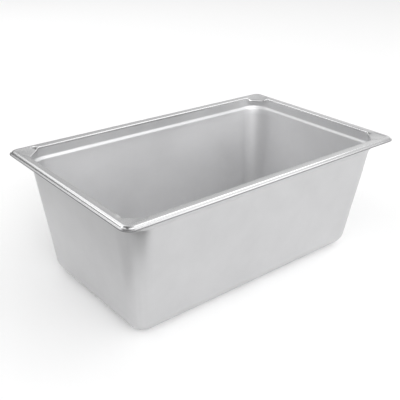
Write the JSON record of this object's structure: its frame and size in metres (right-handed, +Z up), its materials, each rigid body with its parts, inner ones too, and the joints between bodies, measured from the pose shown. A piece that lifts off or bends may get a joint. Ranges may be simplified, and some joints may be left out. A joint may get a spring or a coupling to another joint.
{
  "type": "steam table food pan",
  "caption": "Deep rectangular stainless food pan: drafted walls, rounded floor, stacking shoulder, rolled rim with flattened edge and pressed corner pads.",
  "frame": {"origin": "centre of the floor's flat underside, on the surface that the pan stands on", "axes": "+X along the long sides, +Y along the short sides, +Z up through the open mouth"},
  "size_m": [0.527, 0.324, 0.203],
  "materials": {
    "stainless_steel": "satin"
  },
  "bodies": {
    "root": {"pan_body": "stainless_steel"}
  },
  "joints": []
}
